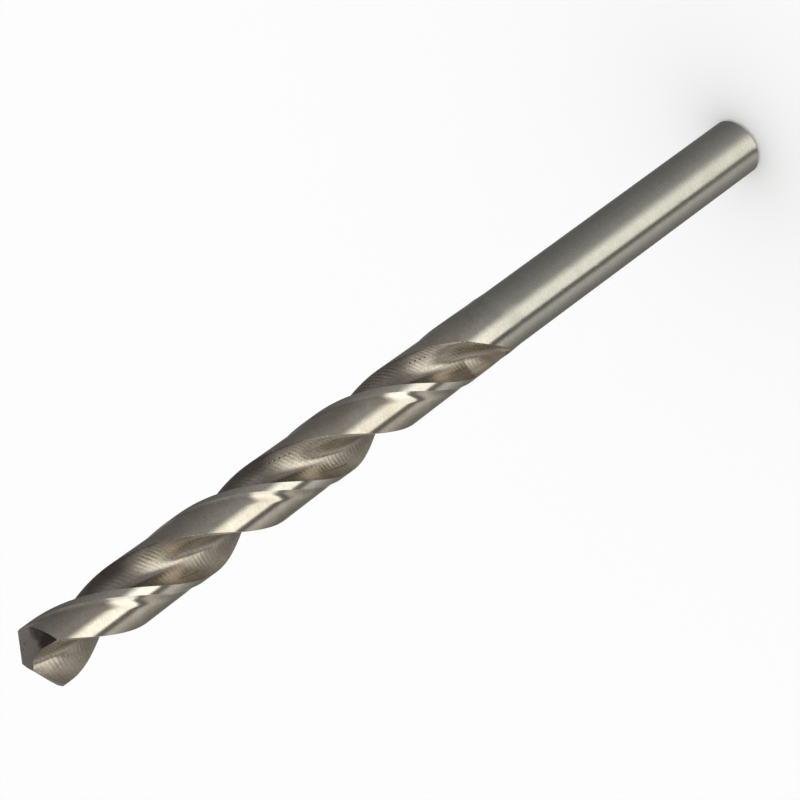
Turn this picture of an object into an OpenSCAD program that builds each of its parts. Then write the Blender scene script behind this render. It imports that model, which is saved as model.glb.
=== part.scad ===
// Twist drill bit with a plain round shank, in millimetres.
// It stands on the flat end of its shank: the origin is the centre of that face and the
// point is at the top. The flutes turn to the right, as on a common right-hand drill.

/* [Drill] */
// Length over the whole bit, from the shank's end face to the chisel edge
overall_l = 93; // [75:1:130]
// Diameter over the two margins
drill_d = 6; // [4.5:0.1:9]
// Length of the fluted end, from the chisel edge to where the flutes run out
flute_l = 57; // [40:1:68]
// Length along the bit in which a flute makes one full turn
helix_lead = 34; // [26:0.5:50]

/* [Shank] */
// Diameter of the shank
shank_d = 5.74; // [4.6:0.02:6.4]
// Chamfer round the shank's end face
shank_chamfer = 0.35; // [0.1:0.05:0.8]
// Length of the slight cone between the lands and the shank
neck_l = 1.4; // [0.6:0.1:4]

/* [Lands] */
// Angle that a land takes up at the point, from its leading edge to its heel
land_angle = 83; // [70:1:95]
// How much wider that angle gets in each millimetre away from the point
land_growth = 0.3; // [0:0.05:0.5]
// Width of a margin, the narrow strip that keeps the full diameter
margin_w = 0.8; // [0.4:0.05:1.2]
// Width of the hollow behind a margin
step_w = 1.2; // [0.6:0.05:1.6]
// Depth of the land below the margin, just behind the hollow
step_depth = 0.14; // [0.08:0.01:0.3]
// Depth of the land below the margin, at its heel
heel_depth = 0.07; // [0.04:0.01:0.07]

/* [Flutes] */
// Thickness of the web between the flutes, at the point
web_t = 0.96; // [0.6:0.02:1.5]
// How much thicker the web gets in each millimetre away from the point
web_growth = 0.02; // [0:0.005:0.04]
// Reach of the flute's curve from the web
bottom_reach = 1.05; // [0.8:0.05:1.4]
// Reach of the flute's curve from the heel
heel_reach = 0.45; // [0.3:0.05:0.8]
// Lean of the flute's wall at the heel, which rounds the wall off there
heel_lean = 60; // [40:5:70]
// Length over which a flute gets shallow towards the shank
run_out_l = 4.8; // [4:0.2:9]
// Direction in which the flute leaves the bit there, from its cutting edge
run_out_angle = 58; // [48:1:68]
// Length over which the margins sink to the lands towards the shank
margin_fade_l = 7; // [3:0.5:14]

/* [Point] */
// Angle between the two cutting lips
point_angle = 118; // [100:1:140]
// Clearance angle behind a lip, at its outer corner
lip_relief = 12; // [8:1:14]
// Clearance angle at the web, which sets how far the chisel edge leans
web_relief = 28; // [22:1:34]
// How fast the flank falls away behind the lip, with the third power of the distance
flank_curve = 0.022; // [0.014:0.002:0.028]

/* [Hidden] */

// Fineness of the section and of the rings
round_fn = 96;
land_steps = 7;
step_steps = 4;
margin_steps = 3;
wall_steps = 9;
flute_steps = 2 * wall_steps;
arc_steps = land_steps + step_steps + margin_steps;
half_count = arc_steps + flute_steps;
ring_pitch = 0.75;
tip_rings = 5;
search_steps = 48;
halving_steps = 24;

// Shapes that the curves follow
fillet_power = 2.4;
exit_power = 0.55;
rake_power = 1.5;
exit_depth = 0.03;

// Seat of the fluted body in the shank
run_gap = 0.3;
lap = 0.05;
tenon_l = 0.5;
tenon_inset = 0.3;

tip_r = drill_d / 2;
heel_r = tip_r - heel_depth;
step_r = tip_r - step_depth;
shank_r = shank_d / 2;
end_z = overall_l - flute_l;
shank_top = end_z - run_gap;
turn_rate = 360 / helix_lead;

// The lips lie along X, half a web in front of the axis
core = web_t / 2;
lip_l = sqrt(tip_r * tip_r - core * core);
lip_slope = 1 / tan(point_angle / 2);
lip_fall = tan(lip_relief);
web_fall = tan(web_relief);
chisel_drop = web_fall * core + flank_curve * pow(core, 3);
lip_z = overall_l + chisel_drop;
corner_z = lip_z - lip_slope * lip_l;
corner_turn = asin(core / tip_r);
chisel_lean = (web_fall + 4 * flank_curve * core * core) / lip_slope;

steel = [0.55, 0.53, 0.49];

function polar(r, a) = [r * cos(a), r * sin(a)];
function mix(a, b, t) = a + (b - a) * t;
function unit(v) = v / norm(v);
function limit(x, low, high) = min(max(x, low), high);
function angle_of(p) = atan2(p.y, p.x);
function turned(p, a) = [p.x * cos(a) - p.y * sin(a), p.x * sin(a) + p.y * cos(a)];
function bezier(a, b, c, d, t) =
    pow(1 - t, 3) * a + 3 * t * pow(1 - t, 2) * b + 3 * t * t * (1 - t) * c + pow(t, 3) * d;

// How far z lies behind the outer corners of the lips
function behind(z) = max(corner_z - z, 0);
function core_at(z) = core + web_growth / 2 * behind(z);
function land_at(z) = land_angle + land_growth * behind(z);

// Share of a run that starts at z = start and ends at z = start - length
function share(z, start, length) = limit((start - z) / length, 0, 1);

// Radius of the margins: full size, then fading to the lands where the flutes end
function margin_r(z) = tip_r - heel_depth * share(z, end_z + margin_fade_l, margin_fade_l);

// Height of one flank above the point (x, y), and of the whole point. The fall behind the lip
// is steepest at the web, as on a point ground on a cone.
function fall_at(x) = lip_fall + (web_fall - lip_fall) * pow(1 - x / tip_r, 2);
function flank_z(x, y) =
    lip_z - lip_slope * x - fall_at(x) * (core - y) - flank_curve * pow(core - y, 3);
function point_z(p) = min(flank_z(p.x, p.y), flank_z(-p.x, -p.y));

// Cutting face: ground so that its meeting with the flank is a straight lip
function rake_angle(r, c) =
    asin(min(c / r, 1)) - asin(c / tip_r)
    - turn_rate * lip_slope * (sqrt(tip_r * tip_r - c * c) - sqrt(max(r * r - c * c, 0)));
function rake_point(t, c) =
    let (
        inner = c * sqrt(1 + chisel_lean * chisel_lean),
        r = mix(tip_r, inner, 1 - pow(1 - t, rake_power))
    )
    polar(r, rake_angle(r, c));

// Flute in the section at z: u = 0 at the cutting edge, 0.5 at the web, 1 at the next heel
function flute_point(z, u) =
    let (
        c = core_at(z),
        web = rake_point(1, c),
        along = unit(web - rake_point(0.97, c)),
        heel_a = 180 - land_at(z),
        heel = polar(heel_r, heel_a)
    )
    u < 0.5
        ? rake_point(2 * u, c)
        : bezier(web, web + bottom_reach * along,
                 heel - heel_reach * polar(1, heel_a + heel_lean), heel, 2 * u - 1);

// Run-out: the flute's curve moves out of the bit in one direction
function moved_point(z, u, lift) = flute_point(z, u) + lift * polar(1, run_out_angle);
function least_r(z, lift) =
    min([for (i = [0:search_steps]) norm(moved_point(z, i / search_steps, lift))]);
function full_lift(low, high, n) =
    let (middle = (low + high) / 2)
    n == 0 ? low
        : least_r(end_z, middle) > heel_r - exit_depth
            ? full_lift(low, middle, n - 1)
            : full_lift(middle, high, n - 1);
whole_lift = full_lift(0, drill_d, halving_steps);
function lift_at(z) =
    whole_lift * (1 - pow(1 - share(z, end_z + run_out_l, run_out_l), exit_power));

// Where the moved curve crosses radius r, between outer (outside r) and inner (inside r)
function crossing(z, lift, r, outer, inner, n) =
    let (middle = (outer + inner) / 2)
    n == 0 ? inner
        : norm(moved_point(z, middle, lift)) > r
            ? crossing(z, lift, r, middle, inner, n - 1)
            : crossing(z, lift, r, outer, middle, n - 1);
function deepest(z, lift) =
    let (radii = [for (i = [0:search_steps]) norm(moved_point(z, i / search_steps, lift))])
    search(min(radii), radii)[0] / search_steps;

// Flute cut off at the skin of the bit, as flute_steps + 1 points
function flute_run(z) =
    let (
        lift = lift_at(z),
        deep = lift > 0 ? deepest(z, lift) : 0.5,
        first = lift > 0 ? crossing(z, lift, margin_r(z), 0, deep, halving_steps) : 0,
        last = lift > 0 ? crossing(z, lift, heel_r, 1, deep, halving_steps) : 1
    )
    [for (i = [0:flute_steps]) moved_point(z, mix(first, last, i / flute_steps), lift)];

// Land, step and margin between the heel at angle heel_a and the cutting edge at lead_a
function land_run(z, heel_a, lead_a) =
    let (
        rim = margin_r(z),
        low = mix(step_r, heel_r, share(z, end_z + margin_fade_l, margin_fade_l)),
        margin_a = margin_w / tip_r * 180 / PI,
        step_a = step_w / tip_r * 180 / PI,
        foot_a = lead_a - margin_a - step_a
    )
    [
        for (i = [0:land_steps])
            polar(mix(heel_r, low, i / land_steps), mix(heel_a, foot_a, i / land_steps)),
        for (i = [1:step_steps])
            polar(mix(low, rim, pow(i / step_steps, fillet_power)),
                  foot_a + step_a * i / step_steps),
        for (i = [1:margin_steps])
            polar(rim, lead_a - margin_a * (1 - i / margin_steps))
    ];

// Half of the section, anticlockwise from one heel to just before the next
function half_section(z) =
    let (
        flute = flute_run(z),
        lead_a = angle_of(flute[0]),
        heel_a = angle_of(flute[flute_steps]) - 180
    )
    concat(land_run(z, heel_a, lead_a), [for (i = [1:flute_steps - 1]) flute[i]]);
function whole_section(z) =
    let (half = half_section(z))
    concat(half, -half);

// A section's point turned with the helix to its height
function helix_point(p, z) =
    let (q = turned(p, corner_turn + turn_rate * (z - corner_z)))
    [q.x, q.y, z];

// Height at which the strand through p meets the flanks, between low and high
function strand_top(p, low, high, n) =
    let (middle = (low + high) / 2)
    n == 0 ? low
        : point_z(helix_point(p, middle)) > middle
            ? strand_top(p, middle, high, n - 1)
            : strand_top(p, low, middle, n - 1);

tip_section = whole_section(corner_z);
strand_tops = [for (p = tip_section) strand_top(p, corner_z - drill_d, lip_z, halving_steps)];
tip_base = min(strand_tops) - ring_pitch;
body_rings = ceil((tip_base - end_z) / ring_pitch);
ring_size = 2 * half_count;

// Foot of the body, which sits in the shank
end_angles = [for (p = whole_section(end_z)) angle_of(p)];
function foot_ring(r, z) = [for (a = end_angles) helix_point(polar(r, a), z)];

rings = [
    foot_ring(heel_r - tenon_inset, shank_top - tenon_l),
    foot_ring(heel_r, shank_top + lap),
    for (k = [0:body_rings])
        let (z = mix(end_z, tip_base, k / body_rings))
        [for (p = whole_section(z)) helix_point(p, z)],
    for (k = [1:tip_rings])
        [for (j = [0:ring_size - 1])
            helix_point(tip_section[j], mix(tip_base, strand_tops[j], k / tip_rings))]
];
top_ring = rings[len(rings) - 1];

// Net over a flank: column 0 runs up the heel's wall and the last one along the lip
function net_inner(column, row) =
    let (
        wall = -top_ring[arc_steps + flute_steps - row],
        lip = top_ring[arc_steps + row],
        t = column / arc_steps,
        r = mix(norm([wall.x, wall.y]), norm([lip.x, lip.y]), t),
        q = polar(r, mix(angle_of(wall), angle_of(lip), t))
    )
    [q.x, q.y, point_z(q)];
flank_net = [
    for (column = [1:arc_steps - 1])
        for (row = [1:wall_steps])
            net_inner(column, row)
];

top_start = (len(rings) - 1) * ring_size;
net_start = len(rings) * ring_size;
centre_index = net_start + 2 * len(flank_net);

// Index of a net point: side is 0 for one flank and 1 for the other
function net_index(side, column, row) =
    row == 0 ? top_start + side * half_count + column
    : column == arc_steps ? top_start + side * half_count + arc_steps + row
    : column == 0 ? top_start + (1 - side) * half_count + arc_steps + flute_steps - row
    : net_start + side * len(flank_net) + (column - 1) * wall_steps + row - 1;

side_faces = [
    for (k = [0:len(rings) - 2])
        for (j = [0:ring_size - 1])
            let (
                a = k * ring_size + j,
                b = k * ring_size + (j + 1) % ring_size,
                c = a + ring_size,
                d = b + ring_size
            )
            each [[a, c, b], [c, d, b]]
];
net_faces = [
    for (side = [0:1])
        for (column = [0:arc_steps - 1])
            for (row = [0:wall_steps - 1])
                let (
                    a = net_index(side, column, row),
                    b = net_index(side, column + 1, row),
                    c = net_index(side, column, row + 1),
                    d = net_index(side, column + 1, row + 1)
                )
                each [[a, c, b], [c, d, b]]
];
chisel_faces = [
    for (side = [0:1])
        for (column = [0:arc_steps - 1])
            [net_index(side, column, wall_steps), centre_index,
             net_index(side, column + 1, wall_steps)]
];
foot_face = [for (j = [0:ring_size - 1]) j];

// Fluted end with its lands, margins, lips, flanks and chisel edge
module fluted_body() {
    polyhedron(
        points = concat(
            [for (ring = rings) each ring],
            flank_net,
            [for (p = flank_net) [-p.x, -p.y, p.z]],
            [[0, 0, point_z([0, 0])]]
        ),
        faces = concat(side_faces, net_faces, chisel_faces, [foot_face]),
        convexity = 8
    );
}

// Plain shank with its chamfered end and the slight cone up to the lands
module shank() {
    rotate_extrude($fn = round_fn)
        polygon([
            [0, 0],
            [shank_r - shank_chamfer, 0],
            [shank_r, shank_chamfer],
            [shank_r, shank_top - neck_l],
            [heel_r, shank_top],
            [0, shank_top]
        ]);
}

module drill_bit() {
    color(steel)
        union() {
            shank();
            fluted_body();
        }
}

drill_bit();
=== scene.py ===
"""Looks of the twist drill bit: a fine mesh of the same form, its ground steel, light and camera.

Lengths of the form are in millimetres, as in the part's source. The mesh is made in metres.
"""

import math

import bpy
import numpy as np
from mathutils import Matrix, Vector


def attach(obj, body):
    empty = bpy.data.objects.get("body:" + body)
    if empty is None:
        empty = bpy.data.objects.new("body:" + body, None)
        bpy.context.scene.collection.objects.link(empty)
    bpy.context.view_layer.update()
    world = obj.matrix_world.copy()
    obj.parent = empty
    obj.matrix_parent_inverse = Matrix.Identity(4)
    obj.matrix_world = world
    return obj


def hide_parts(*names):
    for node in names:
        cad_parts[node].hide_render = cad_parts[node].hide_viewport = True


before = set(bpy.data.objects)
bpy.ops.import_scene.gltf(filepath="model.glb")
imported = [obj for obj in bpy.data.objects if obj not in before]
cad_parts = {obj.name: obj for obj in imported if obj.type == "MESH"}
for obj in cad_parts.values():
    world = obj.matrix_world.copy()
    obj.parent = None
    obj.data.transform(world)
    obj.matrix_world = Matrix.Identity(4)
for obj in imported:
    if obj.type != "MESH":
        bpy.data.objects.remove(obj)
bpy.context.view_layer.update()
MM, MICRON = 0.001, 1e-6

# The part's own values
OVERALL_L, DRILL_D, FLUTE_L, HELIX_LEAD = 93.0, 6.0, 57.0, 34.0
SHANK_D, SHANK_CHAMFER, NECK_L = 5.74, 0.35, 1.4
LAND_ANGLE, LAND_GROWTH = math.radians(83), math.radians(0.3)
MARGIN_W, STEP_W, STEP_DEPTH, HEEL_DEPTH = 0.8, 1.2, 0.14, 0.07
WEB_T, WEB_GROWTH, BOTTOM_REACH, HEEL_REACH = 0.96, 0.02, 1.05, 0.45
HEEL_LEAN, RUN_OUT_L, RUN_OUT_ANGLE = math.radians(60), 4.8, math.radians(58)
MARGIN_FADE_L = 7.0
POINT_ANGLE, LIP_RELIEF, WEB_RELIEF = math.radians(118), math.radians(12), math.radians(28)
FLANK_CURVE = 0.022
FILLET_POWER, EXIT_POWER, RAKE_POWER, EXIT_DEPTH, RUN_GAP = 2.4, 0.55, 1.5, 0.03, 0.3

# A hollow in the step behind each margin, which only reflections show: how much deeper it is than
# the part's step, the power that moves it towards the margin, and the factor that makes its
# deepest place 1
HOLLOW_DIP, HOLLOW_POWER, HOLLOW_PEAK = 0.06, 1.5, 5.38

TIP_R = DRILL_D / 2
HEEL_R, STEP_R, SHANK_R = TIP_R - HEEL_DEPTH, TIP_R - STEP_DEPTH, SHANK_D / 2
END_Z = OVERALL_L - FLUTE_L
SHANK_TOP = END_Z - RUN_GAP
TURN_RATE = 2 * math.pi / HELIX_LEAD
CORE = WEB_T / 2
LIP_SLOPE = 1 / math.tan(POINT_ANGLE / 2)
LIP_FALL, WEB_FALL = math.tan(LIP_RELIEF), math.tan(WEB_RELIEF)
LIP_Z = OVERALL_L + WEB_FALL * CORE + FLANK_CURVE * CORE**3
CORNER_Z = LIP_Z - LIP_SLOPE * math.sqrt(TIP_R**2 - CORE**2)
CORNER_TURN = math.asin(CORE / TIP_R)
CHISEL_LEAN = (WEB_FALL + 4 * FLANK_CURVE * CORE**2) / LIP_SLOPE

# Fineness: steps over a land, its step, its margin, and each half of a flute
LAND_N, STEP_N, MARGIN_N, WALL_N = 24, 12, 8, 30
ARC_N, FLUTE_N = LAND_N + STEP_N + MARGIN_N, 2 * WALL_N
HALF_N = ARC_N + FLUTE_N
RING_N = 2 * HALF_N
RING_PITCH, SHANK_PITCH, NECK_RINGS, TIP_RINGS = 0.2, 0.6, 4, 16
SHARP_ANGLE = math.radians(25)

# Searches: places tried across a flute, halvings of a range, steps in which the tip's top ring
# settles on the flanks, and a place on the cutting face just before the web
SEARCH, HALVINGS, SETTLING_N, NEAR_WEB = np.linspace(0, 1, 241), 30, 40, 0.97


def polar(r, a):
    return np.stack([r * np.cos(a), r * np.sin(a)], -1)


def mix(a, b, t):
    return a + (b - a) * t


def turned(p, a):
    c, s = np.cos(a), np.sin(a)
    return np.stack([p[..., 0] * c - p[..., 1] * s, p[..., 0] * s + p[..., 1] * c], -1)


def helix_point(p, z):
    """Points of a section turned with the helix to their height."""
    z = np.broadcast_to(np.asarray(z, float), p.shape[:-1])
    q = turned(p, CORNER_TURN + TURN_RATE * (z - CORNER_Z))
    return np.concatenate([q, z[..., None]], -1)


def flank_z(x, y):
    e = CORE - y
    fall = LIP_FALL + (WEB_FALL - LIP_FALL) * (1 - x / TIP_R) ** 2
    return LIP_Z - LIP_SLOPE * x - fall * e - FLANK_CURVE * e**3


def point_z(p):
    return np.minimum(flank_z(p[..., 0], p[..., 1]), flank_z(-p[..., 0], -p[..., 1]))


def share(z, start, length):
    """0 at start and above, 1 at a length below it."""
    return min(max((start - z) / length, 0), 1)


def margin_r(z):
    return TIP_R - HEEL_DEPTH * share(z, END_Z + MARGIN_FADE_L, MARGIN_FADE_L)


def rake_point(t, c):
    """Cutting face, from the edge at t = 0 to the web at t = 1."""
    inner = c * math.hypot(1, CHISEL_LEAN)
    r = mix(TIP_R, inner, 1 - (1 - t) ** RAKE_POWER)
    root = np.sqrt(np.maximum(r * r - c * c, 0))
    a = (
        np.arcsin(np.clip(c / r, -1, 1))
        - math.asin(c / TIP_R)
        - TURN_RATE * LIP_SLOPE * (math.sqrt(TIP_R**2 - c * c) - root)
    )
    return polar(r, a)


def flute_point(z, u):
    """Flute in the section at z: u = 0 at the cutting edge, 0.5 at the web, 1 at the next heel."""
    u = np.asarray(u, float)
    behind = max(CORNER_Z - z, 0)
    c = CORE + WEB_GROWTH / 2 * behind
    web = rake_point(np.array(1.0), c)
    along = web - rake_point(np.array(NEAR_WEB), c)
    along /= np.linalg.norm(along)
    heel_a = math.pi - LAND_ANGLE - LAND_GROWTH * behind
    heel = polar(HEEL_R, np.array(heel_a))
    mid = web + BOTTOM_REACH * along
    late = heel - HEEL_REACH * polar(1, np.array(heel_a + HEEL_LEAN))
    t = np.clip(2 * u - 1, 0, 1)[..., None]
    wall = (1 - t) ** 3 * web + 3 * t * (1 - t) ** 2 * mid
    wall = wall + 3 * t * t * (1 - t) * late + t**3 * heel
    return np.where((u < 0.5)[..., None], rake_point(np.clip(2 * u, 0, 1), c), wall)


def moved_point(z, u, lift):
    """Point of a flute that has been lifted out of the body, as in a run-out."""
    return flute_point(z, u) + lift * polar(1, np.array(RUN_OUT_ANGLE))


def full_lift():
    """Lift that just takes the flute out of the body."""
    low, high = 0.0, DRILL_D
    for _ in range(HALVINGS):
        middle = (low + high) / 2
        r = np.linalg.norm(moved_point(END_Z, SEARCH, middle), axis=-1).min()
        low, high = (low, middle) if r > HEEL_R - EXIT_DEPTH else (middle, high)
    return low


WHOLE_LIFT = full_lift()


def crossing(z, lift, r, outer, inner):
    """Place u where a lifted flute crosses radius r, between a place outside and one inside."""
    for _ in range(HALVINGS):
        middle = (outer + inner) / 2
        if np.linalg.norm(moved_point(z, middle, lift)) > r:
            outer = middle
        else:
            inner = middle
    return inner


def half_section(z):
    """Half of the section, anticlockwise from one heel to just before the next."""
    lift = WHOLE_LIFT * (1 - (1 - share(z, END_Z + RUN_OUT_L, RUN_OUT_L)) ** EXIT_POWER)
    first, last = 0.0, 1.0
    rim = margin_r(z)
    if lift > 0:
        deep = SEARCH[np.linalg.norm(moved_point(z, SEARCH, lift), axis=-1).argmin()]
        first = crossing(z, lift, rim, 0, deep)
        last = crossing(z, lift, HEEL_R, 1, deep)
    flute = moved_point(z, np.linspace(first, last, FLUTE_N + 1), lift)
    lead_a = math.atan2(flute[0, 1], flute[0, 0])
    heel_a = math.atan2(flute[-1, 1], flute[-1, 0]) - math.pi
    margin_a, step_a = MARGIN_W / TIP_R, STEP_W / TIP_R
    foot_a = lead_a - margin_a - step_a
    low = mix(STEP_R, HEEL_R, share(z, END_Z + MARGIN_FADE_L, MARGIN_FADE_L))
    t = np.linspace(0, 1, LAND_N + 1)
    land = polar(mix(HEEL_R, low, t), mix(heel_a, foot_a, t))
    t = np.linspace(0, 1, STEP_N + 1)[1:]
    dip = HOLLOW_DIP * (rim - low) / STEP_DEPTH * HOLLOW_PEAK * t**HOLLOW_POWER * (1 - t)
    step = polar(mix(low, rim, t**FILLET_POWER) - dip, foot_a + step_a * t)
    t = np.linspace(0, 1, MARGIN_N + 1)[1:]
    margin = polar(np.full(MARGIN_N, rim), lead_a - margin_a * (1 - t))
    return np.concatenate([land, step, margin, flute[1:-1]])


def whole_section(z):
    half = half_section(z)
    return np.concatenate([half, -half])


def make_rings():
    """Rings of the whole bit from the shank's end up, and how many belong to the shank."""
    tip_section = whole_section(CORNER_Z)
    tops = np.full(RING_N, CORNER_Z)
    for _ in range(SETTLING_N):
        tops = point_z(helix_point(tip_section, tops))
    tip_base = tops.min() - RING_PITCH
    end = whole_section(END_Z)
    end_a = np.arctan2(end[:, 1], end[:, 0])

    def round_ring(r, z):
        return helix_point(polar(np.full(RING_N, r), end_a), np.full(RING_N, z))

    wall_top = SHANK_TOP - NECK_L
    wall = np.linspace(SHANK_CHAMFER, wall_top, int(wall_top / SHANK_PITCH))
    neck = np.linspace(0, 1, NECK_RINGS + 1)[1:]
    rings = [round_ring(SHANK_R - SHANK_CHAMFER, 0.0)]
    rings += [round_ring(SHANK_R, z) for z in wall]
    rings += [round_ring(mix(SHANK_R, HEEL_R, t), mix(wall_top, SHANK_TOP, t)) for t in neck]
    shank_rings = len(rings)
    body_n = math.ceil((tip_base - END_Z) / RING_PITCH)
    for k in range(body_n + 1):
        z = mix(END_Z, tip_base, k / body_n)
        rings.append(helix_point(whole_section(z), z))
    for k in range(1, TIP_RINGS + 1):
        rings.append(helix_point(tip_section, mix(tip_base, tops, k / TIP_RINGS)))
    return np.array(rings), shank_rings


def make_net(top):
    """Inner points of the net over one flank, from the heel's wall to the lip."""
    rows = np.arange(1, WALL_N + 1)
    wall, lip = -top[ARC_N + FLUTE_N - rows], top[ARC_N + rows]
    t = (np.arange(1, ARC_N) / ARC_N)[:, None]
    r = mix(np.linalg.norm(wall[:, :2], axis=1), np.linalg.norm(lip[:, :2], axis=1), t)
    a = mix(np.arctan2(wall[:, 1], wall[:, 0]), np.arctan2(lip[:, 1], lip[:, 0]), t)
    q = polar(r, a)
    return np.concatenate([q, point_z(q)[..., None]], -1).reshape(-1, 3)


SHANK, LAND, MARGIN, FLUTE, FLANK = range(5)


def make_bit():
    """Points, faces, the kind of surface of each face, and the number of rings."""
    rings, shank_rings = make_rings()
    top = rings[-1]
    net = make_net(top)
    ends = [[0, 0, point_z(np.zeros(2))], [0, 0, 0]]
    points = np.concatenate([rings.reshape(-1, 3), net, net * [-1, -1, 1], ends])
    top_start = (len(rings) - 1) * RING_N
    net_start = len(rings) * RING_N
    tip_i, foot_i = len(points) - 2, len(points) - 1

    def net_index(side, column, row):
        if row == 0:
            return top_start + (side * HALF_N + column) % RING_N
        if column == ARC_N:
            return top_start + side * HALF_N + ARC_N + row
        if column == 0:
            return top_start + (1 - side) * HALF_N + ARC_N + FLUTE_N - row
        return net_start + side * len(net) + (column - 1) * WALL_N + row - 1

    def ring_kind(k, j):
        if k < shank_rings:
            return SHANK
        j %= HALF_N
        return LAND if j < LAND_N + STEP_N else MARGIN if j < ARC_N else FLUTE

    faces, kinds = [], []
    for k in range(len(rings) - 1):
        for j in range(RING_N):
            a, b = k * RING_N + j, k * RING_N + (j + 1) % RING_N
            faces.append((a, b, b + RING_N, a + RING_N))
            kinds.append(ring_kind(k, j))
    for side in range(2):
        for column in range(ARC_N):
            left = [net_index(side, column, row) for row in range(WALL_N + 1)]
            right = [net_index(side, column + 1, row) for row in range(WALL_N + 1)]
            for row in range(WALL_N):
                faces.append((left[row], right[row], right[row + 1], left[row + 1]))
            faces.append((left[-1], right[-1], tip_i))
            kinds += [FLANK] * (WALL_N + 1)
    for j in range(RING_N):
        faces.append(((j + 1) % RING_N, j, foot_i))
        kinds.append(SHANK)
    return points, faces, kinds, len(rings)


class Graph:
    """A material and short ways to add its nodes."""

    def __init__(self, name):
        self.material = bpy.data.materials.new(name)
        self.material.use_nodes = True
        self.tree = self.material.node_tree
        self.shader = self.tree.nodes["Principled BSDF"]

    def node(self, kind, inputs=(), **settings):
        made = self.tree.nodes.new("ShaderNode" + kind)
        for key, value in settings.items():
            setattr(made, key, value)
        for key, value in dict(inputs).items():
            self.put(made.inputs[key], value)
        return made

    def put(self, socket, value):
        if isinstance(value, bpy.types.NodeSocket):
            self.tree.links.new(value, socket)
        else:
            socket.default_value = value

    def math(self, operation, a, b=0.0):
        inputs = {0: a} if operation in ("SINE", "ABSOLUTE") else {0: a, 1: b}
        return self.node("Math", inputs, operation=operation).outputs[0]

    def plus(self, a, b):
        return self.math("ADD", a, b)

    def minus(self, a, b):
        return self.math("SUBTRACT", a, b)

    def times(self, a, b):
        return self.math("MULTIPLY", a, b)

    def value(self, name):
        return self.node("Attribute", attribute_name=name).outputs["Fac"]

    def noise(self, scale, detail=2.0, roughness=0.5):
        """Noise over the object, with a scale per metre for each axis."""
        place = self.node("TexCoord").outputs["Object"]
        scaled = self.node("Mapping", {"Vector": place, "Scale": scale}).outputs[0]
        inputs = {"Vector": scaled, "Scale": 1.0, "Detail": detail, "Roughness": roughness}
        return self.node("TexNoise", inputs).outputs[0]

    def span(self, value, low, high, out_low=0.0, out_high=1.0):
        """Value from low..high to out_low..out_high, held at both ends."""
        inputs = {0: value, 1: low, 2: high, 3: out_low, 4: out_high}
        return self.node("MapRange", inputs).outputs[0]

    def vary(self, noise, low, high):
        """From low to high over the values that noise mostly has."""
        return self.span(noise, 0.3, 0.7, low, high)

    def line(self, value, place, width, edge):
        """1 within a width on each side of a place, and 0 beyond an edge."""
        away = self.math("ABSOLUTE", self.minus(value, place))
        return self.span(away, width, edge, 1.0, 0.0)

    def window(self, value, start, end, edge):
        """1 from start to end, and 0 beyond an edge on each side."""
        rise = self.span(value, start - edge, start)
        return self.times(rise, self.span(value, end, end + edge, 1.0, 0.0))

    def either(self, value, first, second):
        """Two windows that lie apart."""
        return self.math("MAXIMUM", self.window(value, *first), self.window(value, *second))

    def blend(self, t, a, b):
        """Colour from a to b. Its node has places 6 and 7 for them and gives it at 2."""
        made = self.node("Mix", data_type="RGBA")
        for place, value in ((0, t), (6, a), (7, b)):
            self.put(made.inputs[place], value)
        return made.outputs[2]

    def scaled(self, colour, factor):
        made = self.node("VectorMath", {0: colour, "Scale": factor}, operation="SCALE")
        return made.outputs[0]

    def bump(self, height, distance, normal=None):
        inputs = {"Height": height, "Distance": distance}
        if normal is not None:
            inputs["Normal"] = normal
        return self.node("Bump", inputs).outputs[0]

    def metal(self, colour, roughness, normal, anisotropic=0.0):
        p = self.shader.inputs
        p["Metallic"].default_value = 1.0
        self.put(p["Base Color"], colour)
        self.put(p["Roughness"], roughness)
        self.put(p["Normal"], normal)
        if anisotropic:
            p["Anisotropic"].default_value = anisotropic
            p["Anisotropic Rotation"].default_value = 0.25
            tangent = self.node("Tangent", direction_type="RADIAL", axis="Z")
            self.put(p["Tangent"], tangent.outputs[0])
        return self.material


# Pairs of colours: the clean steel, and its clouds and streaks
SHANK_COLOURS = (0.59, 0.577, 0.522), (0.50, 0.483, 0.427)
LAND_COLOURS = (0.715, 0.68, 0.595), (0.54, 0.476, 0.40)
MARGIN_COLOURS = (0.685, 0.665, 0.60), (0.615, 0.59, 0.53)
FLUTE_COLOURS = (0.56, 0.51, 0.437), (0.445, 0.395, 0.334)
FLANK_COLOURS = (0.54, 0.49, 0.46), (0.44, 0.40, 0.37)
# The flutes' dark brown is both their stain and the painted shade on their heel walls
FLUTE_STAIN_AND_SHADE, FLUTE_PIT = (0.24, 0.19, 0.168), (0.04, 0.038, 0.035)
FLANK_STAIN, FLANK_PIT = (0.12, 0.098, 0.085), (0.07, 0.063, 0.056)
# Brown of the run-outs: partly the steel's own, partly painted shade over their bright reflection
RUN_OUT_BROWN_AND_SHADE = (0.28, 0.224, 0.161)
SHANK_TO_LAND_L, GROUND_ANISOTROPY = 6, 0.4

# Marks in the flutes, by height in millimetres and by u, the share of the way across a flute.
# The cut's marks run straight across as far as CUT_BEND, and slant from there to the heel.
CUT_PITCH, CUT_BEND, CUT_SLANT = 0.445, 0.52, -13.0
PIT_PITCH, PIT_PHASE, PIT_U = 0.4613, -2.306, 0.803
PIT_ROWS = (61.5, 63.7, 0.1), (44.4, 46.2, 0.1)
SEAMS = (57.0, 60.0, 0.4), (75.2, 77.2, 0.4)
# Painted shade: two bands of height, each with a soft edge, in which the heel walls are darkened
SHADE_BANDS = (64.0, 68.5, 1.2), (81.0, 86.0, 1.5)
LANES_ACROSS, LANES_ALONG = 24.0, 0.12


def opaque(colour):
    return (*colour, 1.0)


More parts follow.
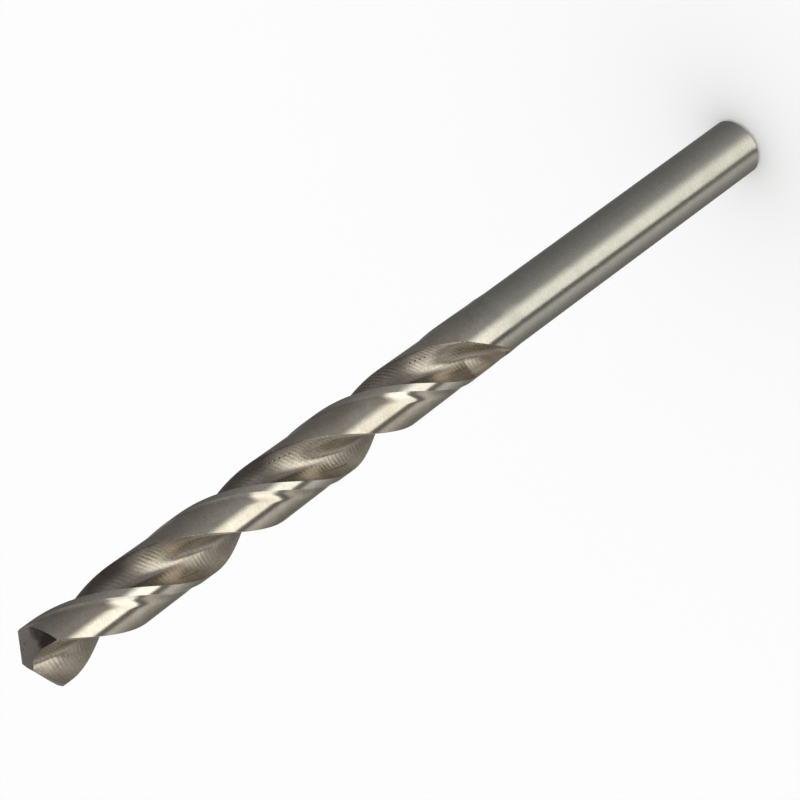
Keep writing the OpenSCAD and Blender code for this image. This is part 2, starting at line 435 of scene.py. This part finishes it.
def ground_steel(name, colours, roughness, grain, cloud, fleck, shank=None):
    """Cylindrically ground steel: fine marks run round the bit, and flecks lie between them.

    With shank, another pair of colours, the steel takes those towards the shank.
    """
    g = Graph(name)
    marks = g.noise((700, 700, 5200), 3.0, 0.6)
    streaks = g.noise((160, 160, 2200), 2.0)
    patches = g.noise((420, 420, 300), 3.0, 0.6)
    flecks = g.noise((4200, 4200, 6500), 2.0, 0.7)
    first, second = map(opaque, colours)
    if shank:
        along = g.span(g.value("height"), END_Z, END_Z + SHANK_TO_LAND_L)
        first, second = (g.blend(along, opaque(a), b) for a, b in zip(shank, (first, second)))
    tone = g.blend(g.span(patches, 0.35, 0.7, 0, cloud), first, second)
    tone = g.blend(g.span(streaks, 0.3, 0.75, 0, 0.35), tone, second)
    tone = g.scaled(tone, g.vary(flecks, 1 - fleck, 1 + fleck))
    rough = g.plus(g.vary(marks, -0.03, 0.03), roughness)
    rough = g.plus(g.vary(patches, 0.0, 0.04), rough)
    normal = g.bump(marks, grain * MICRON)
    normal = g.bump(streaks, grain * MICRON, normal)
    return g.metal(tone, rough, normal, GROUND_ANISOTROPY)


def flute_steel():
    """Flutes: marks of the cut, two rows of pits where they turn, seams, stain, painted shade and
    flecks.

    Near the run-outs it is browner, partly painted shade; lanes run along it and its grain is
    weaker.
    """
    g = Graph("steel_flute")
    z, u = g.value("height"), g.value("across")

    slant = g.times(g.math("MAXIMUM", g.minus(u, CUT_BEND), 0.0), CUT_SLANT)
    turns = g.plus(g.times(z, 1 / CUT_PITCH), slant)
    turns = g.plus(turns, g.span(g.noise((900, 900, 900), 2.0), 0.2, 0.8, -0.15, 0.15))
    wave = g.math("SINE", g.times(turns, 2 * math.pi))
    strength = g.span(g.noise((500, 500, 260), 2.0), 0.38, 0.62, 0.3, 1.0)
    strength = g.times(strength, g.span(u, 0.08, 0.25, 0.3, 1.0))

    # Random clouds of stain on the heel walls, and painted shade there in two bands of height
    cloud = g.span(g.noise((330, 330, 330), 3.0, 0.6), 0.42, 0.62, 0.0, 0.5)
    stain_and_shade = g.plus(g.times(g.either(z, *SHADE_BANDS), 0.55), cloud)
    stain_and_shade = g.times(stain_and_shade, g.span(u, 0.70, 0.82))
    strength = g.times(strength, g.span(stain_and_shade, 0.1, 0.6, 1.0, 0.2))
    cut = g.times(wave, strength)

    grain = g.noise((3500, 3500, 3500), 3.0, 0.6)
    lane = g.node("CombineXYZ", {0: g.times(u, LANES_ACROSS), 1: g.times(z, LANES_ALONG)})
    lane = g.node("TexNoise", {"Vector": lane.outputs[0], "Scale": 1.0, "Detail": 2.0})
    lane = g.times(g.minus(lane.outputs[0], 0.5), g.span(z, 42, 48, 1.0, 0.2))
    fine = g.span(z, 41, 46, 0.35, 1.0)

    patches = g.noise((520, 520, 420), 3.0, 0.6)
    tone = g.blend(g.span(patches, 0.35, 0.7), *map(opaque, FLUTE_COLOURS))
    flecks = g.times(g.vary(g.noise((6000, 6000, 6000), 2.0, 0.7), -0.15, 0.15), fine)
    tone = g.scaled(tone, g.plus(flecks, 1.0))
    tone = g.scaled(tone, g.span(wave, -1.0, 1.0, 0.96, 1.04))
    tone = g.scaled(tone, g.span(lane, -0.2, 0.2, 0.72, 1.28))
    # The stain and the painted shade darken the heel walls
    tone = g.blend(g.times(stain_and_shade, 0.6), tone, opaque(FLUTE_STAIN_AND_SHADE))

    seam_u = g.plus(g.span(z, 57.3, 60, 0.163, 0.218), g.span(z, 62, 70, 0.0, -0.061))
    seam = g.times(g.line(u, seam_u, 0.004, 0.012), g.either(z, *SEAMS))
    seam = g.times(seam, g.span(wave, -0.8, 0.4, 0.35, 0.8))
    row = g.plus(g.times(z, 2 * math.pi / PIT_PITCH), PIT_PHASE)
    pits = g.times(g.span(g.math("SINE", row), 0.2, 0.75), g.line(u, PIT_U, 0.004, 0.011))
    dark = g.math("MAXIMUM", seam, g.times(pits, g.either(z, *PIT_ROWS)))
    tone = g.blend(dark, tone, opaque(FLUTE_PIT))
    # Painted light: the steel is lighter towards the cutting edge, for light bounced within the
    # flute
    tone = g.scaled(tone, g.span(u, 0.05, 0.3, 1.2, 1.0))
    # Painted shade with some real brown: the run-out's bowl darkened where it mirrors the bright
    # window
    brown_and_shade = g.times(g.span(z, 38, 43, 0.75, 0.0), g.span(u, 0.4, 0.6, 1.0, 0.6))
    tone = g.blend(brown_and_shade, tone, opaque(RUN_OUT_BROWN_AND_SHADE))

    rough = g.plus(g.vary(grain, -0.05, 0.05), g.span(u, 0.08, 0.3, 0.42, 0.27))
    normal = g.bump(cut, 4 * MICRON)
    normal = g.bump(g.times(grain, fine), 2.2 * MICRON, normal)
    normal = g.bump(lane, 16 * MICRON, normal)
    normal = g.bump(g.times(dark, -1.0), 12 * MICRON, normal)
    return g.metal(tone, rough, normal)


def flank_steel():
    """Flanks of the point: grinding marks, with a dark stain towards each heel and small pits."""
    g = Graph("steel_flank")
    marks = g.noise((700, 6000, 700), 3.0, 0.6)
    patches = g.noise((900, 900, 900), 3.0, 0.6)
    spots = g.noise((3200, 3200, 3200), 1.0)
    flecks = g.noise((6000, 6000, 6000), 2.0, 0.7)
    heel_a = CORNER_TURN - LAND_ANGLE
    heel = (math.cos(heel_a) / MM, math.sin(heel_a) / MM, 0)
    place = g.node("TexCoord").outputs["Object"]
    side = g.node("VectorMath", {0: place, 1: heel}, operation="DOT_PRODUCT").outputs["Value"]
    reach = g.plus(g.math("ABSOLUTE", side), g.vary(patches, -0.45, 0.45))
    tone = g.blend(g.span(patches, 0.4, 0.65), *map(opaque, FLANK_COLOURS))
    tone = g.scaled(tone, g.vary(flecks, 0.85, 1.15))
    tone = g.blend(g.span(reach, 1.6, 2.3, 0.0, 0.78), tone, opaque(FLANK_STAIN))
    tone = g.blend(g.span(spots, 0.66, 0.74), tone, opaque(FLANK_PIT))
    return g.metal(tone, g.vary(marks, 0.26, 0.36), g.bump(marks, 3 * MICRON))


points, faces, kinds, ring_count = make_bit()
mesh = bpy.data.meshes.new("twist_drill")
mesh.from_pydata((points * MM).tolist(), [], faces)
mesh.polygons.foreach_set("use_smooth", [True] * len(faces))
mesh.polygons.foreach_set("material_index", kinds)
mesh.update()
mesh.set_sharp_from_angle(angle=SHARP_ANGLE)

# What the materials read: height in millimetres, and the place across a flute from its
# cutting edge at 0 to the next heel at 1
across = np.zeros(len(points))
ring_step = np.arange(RING_N) % HALF_N
ring_across = np.clip((ring_step - ARC_N) / FLUTE_N, 0, 1)
across[: ring_count * RING_N] = np.tile(ring_across, ring_count)
for name, values in (("height", points[:, 2]), ("across", across)):
    mesh.attributes.new(name, "FLOAT", "POINT").data.foreach_set("value", values)

bit = bpy.data.objects.new("twist_drill", mesh)
bpy.context.scene.collection.objects.link(bit)
# In the order of SHANK, LAND, MARGIN, FLUTE and FLANK; grain is the depth of the marks in microns
for steel in (
    ground_steel("steel_shank", SHANK_COLOURS, roughness=0.155, grain=2.0, cloud=0.5, fleck=0.08),
    ground_steel(
        "steel_land",
        LAND_COLOURS,
        roughness=0.12,
        grain=1.6,
        cloud=0.9,
        fleck=0.10,
        shank=SHANK_COLOURS,
    ),
    ground_steel("steel_margin", MARGIN_COLOURS, roughness=0.11, grain=1.0, cloud=0.5, fleck=0.12),
    flute_steel(),
    flank_steel(),
):
    mesh.materials.append(steel)
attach(bit, "root")
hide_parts("drill_bit")

# Floor
FLOOR_SIZE, FLOOR_TONE = 8, 0.985
bpy.ops.mesh.primitive_plane_add(size=FLOOR_SIZE, location=(0, 0, 0))
floor = bpy.context.object
floor.name = "floor"
g = Graph("pale_floor")
g.shader.inputs["Base Color"].default_value = (FLOOR_TONE, FLOOR_TONE, FLOOR_TONE, 1)
g.shader.inputs["Roughness"].default_value = 0.9
g.shader.inputs["Specular IOR Level"].default_value = 0.0
floor.data.materials.append(g.material)

world = bpy.data.worlds.new("world")
bpy.context.scene.world = world
world.use_nodes = True
world.node_tree.nodes["Background"].inputs["Color"].default_value = (1, 1, 1, 1)
world.node_tree.nodes["Background"].inputs["Strength"].default_value = 1.0

# Light that only reflections show, on a dome round the bit: a bright window low in front of it,
# whose sides lean, a black gap on its right, a warm wall beyond, a dim room and a soft light
# behind. Directions that nothing in the photo mirrors are a guess. Bearings are in degrees from
# the camera's, positive towards the picture's lower right; heights are above level.
DOME_R, DOME_Z, DOME_STRENGTH, CAMERA_BEARING = 2.0, 0.05, 0.73, -91.54
DOME_COLUMNS, DOME_ROWS = 180, 90
LEFT_TINT, WINDOW_TINT, RIGHT_TINT = (1, 0.98, 0.975), (1, 0.99, 0.925), (1, 0.98, 0.925)

# The window: bearings of its edges by height, how soft they are, and its light by height. The
# right edge runs over GAP_EDGE, and the window fades out over WINDOW_TOP.
EDGE_H = (-65, -50, -40, -31, -20, -14, -5, 10)
LEFT_EDGE = (-88, -60, -28, -16, -7, -1, 14, 20)
RIGHT_EDGE = (-19, 20, 52, 45, 46, 50, 70, 99)
EDGE_SOFT_H, EDGE_SOFT = (-50, -31, -12), (60, 29, 17)
GAP_EDGE, WINDOW_TOP = (2, -8), (40, 15)
WINDOW_H = (-75, -60, -45, -31, -15, 0, 15, 40)
WINDOW_TONE = (0.45, 1.45, 1.5, 2.0, 2.6, 1.75, 0.35, 0.15)

# The wall left of the window by bearing and height, right of it by degrees from the window's
# edge, the room above by bearing, what lies below, and the light behind
LEFT_A = (-180, -165, -145, -100, -64, -40, -20)
LEFT_TONE = (0.7, 0.4, 0.26, 0.32, 0.43, 0.56, 0.66)
LEFT_H, LEFT_FALL = (-60, -45, -31, -15, 0), (1.0, 0.9, 0.76, 0.48, 0.7)
RIGHT_A = (12, 24, 36, 52, 70, 90, 105, 120, 135)
RIGHT_TONE = (0.25, 0.81, 0.78, 0.54, 0.38, 0.27, 0.27, 0.35, 0.6)
HIGH_H, HIGH_A = (0, 20), (-180, -150, -110, -60, 0, 30, 60, 90, 150, 180)
HIGH_TONE = (0.9, 0.36, 0.31, 0.13, 0.13, 0.29, 0.46, 0.30, 0.31, 0.9)
LOW_H, LOW_TONE = (-55, -75), 0.40
BACK_A, BACK_H, BACK_TONE = ((100, 135), (172, 145)), ((-23, -12), (18, 5)), 0.9


def soft(x, start, end):
    """Smooth rise from 0 at start to 1 at end."""
    t = np.clip((x - start) / (end - start), 0, 1)
    return t * t * (3 - 2 * t)


def within(x, rise, fall):
    """1 between a rise and a fall, each given from its 0 to its 1."""
    return soft(x, *rise) * soft(x, *fall)


def glow(a, h):
    """Colour of the dome at bearing a and height h."""
    left, right = np.interp(h, EDGE_H, LEFT_EDGE), np.interp(h, EDGE_H, RIGHT_EDGE)
    window = soft(a, left, left + np.interp(h, EDGE_SOFT_H, EDGE_SOFT))
    window *= soft(a, right + GAP_EDGE[0], right + GAP_EDGE[1]) * soft(h, *WINDOW_TOP)
    if a > right:
        wall, tint = np.interp(a - right, RIGHT_A, RIGHT_TONE), np.array(RIGHT_TINT)
    else:
        wall = np.interp(a, LEFT_A, LEFT_TONE) * np.interp(h, LEFT_H, LEFT_FALL)
        tint = np.array(LEFT_TINT)
    wall = mix(wall, LOW_TONE, soft(h, *LOW_H))
    wall = mix(wall, np.interp(a, HIGH_A, HIGH_TONE), soft(h, *HIGH_H))
    wall = mix(wall, BACK_TONE, within(abs(a), *BACK_A) * within(h, *BACK_H))
    bright = max(np.interp(h, WINDOW_H, WINDOW_TONE), wall)
    return mix(wall * tint, bright * np.array(WINDOW_TINT), window)


verts, colours, quads = [], [], []
for i in range(DOME_ROWS + 1):
    for k in range(DOME_COLUMNS):
        h, a = -90 + 180 * i / DOME_ROWS, -180 + 360 * k / DOME_COLUMNS
        world_a = math.radians(CAMERA_BEARING - a)
        level = DOME_R * math.cos(math.radians(h))
        rise = DOME_R * math.sin(math.radians(h))
        verts.append((level * math.cos(world_a), level * math.sin(world_a), DOME_Z + rise))
        colours += [*glow(a, h), 1.0]
        if i < DOME_ROWS:
            here, beside = i * DOME_COLUMNS + k, i * DOME_COLUMNS + (k + 1) % DOME_COLUMNS
            quads.append((here, beside, beside + DOME_COLUMNS, here + DOME_COLUMNS))
data = bpy.data.meshes.new("dome")
data.from_pydata(verts, [], quads)
data.attributes.new("glow", "FLOAT_COLOR", "POINT").data.foreach_set("color", colours)
dome = bpy.data.objects.new("dome", data)
bpy.context.scene.collection.objects.link(dome)
g = Graph("dome_glow")
colour = g.node("Attribute", attribute_name="glow").outputs["Color"]
light = g.node("Emission", {"Color": colour, "Strength": DOME_STRENGTH})
g.put(g.tree.nodes["Material Output"].inputs["Surface"], light.outputs[0])
data.materials.append(g.material)
dome.visible_camera = dome.visible_diffuse = dome.visible_transmission = dome.visible_shadow = False
floor.visible_glossy = False

# Camera, fitted to the photograph: a long lens, 31 degrees above the floor. Its focal length is
# in pixels of the photo; CAM_T is the place of the lips' corners in diameters, and the angles
# are those of the bit's axis and its turn, all as the camera sees them: right, down and ahead.
CAM_F, CAM_T = 3369.3651, (-4.9777, 3.5766, 46.7035)
CAM_YAW, CAM_PITCH, CAM_SPIN = -0.6351, 0.5507, -0.1876
PHOTO_W, SENSOR_W, CLIP = 800, 36, (0.01, 10)
cp, sp, cy, sy = math.cos(CAM_PITCH), math.sin(CAM_PITCH), math.cos(CAM_YAW), math.sin(CAM_YAW)
axis = Vector((cp * cy, cp * sy, sp))
e1 = Vector((-sy, cy, 0))
e2 = axis.cross(e1)
spin = -(CAM_SPIN + math.pi) - CORNER_TURN
c, s = math.cos(spin), math.sin(spin)
from_camera = Matrix((c * e1 - s * e2, -s * e1 - c * e2, -axis))
shank_end = DRILL_D * Vector(CAM_T) + CORNER_Z * axis
right_up_back = [from_camera @ Vector(way) for way in ((1, 0, 0), (0, -1, 0), (0, 0, -1))]
camera = bpy.data.objects.new("camera", bpy.data.cameras.new("camera"))
bpy.context.scene.collection.objects.link(camera)
place = Matrix.Translation(-(from_camera @ shank_end) * MM)
camera.matrix_world = place @ Matrix(right_up_back).transposed().to_4x4()
camera.data.sensor_width = SENSOR_W
camera.data.lens = CAM_F / PHOTO_W * SENSOR_W
camera.data.clip_start, camera.data.clip_end = CLIP
bpy.context.scene.camera = camera

bpy.context.scene.view_settings.view_transform = "Standard"
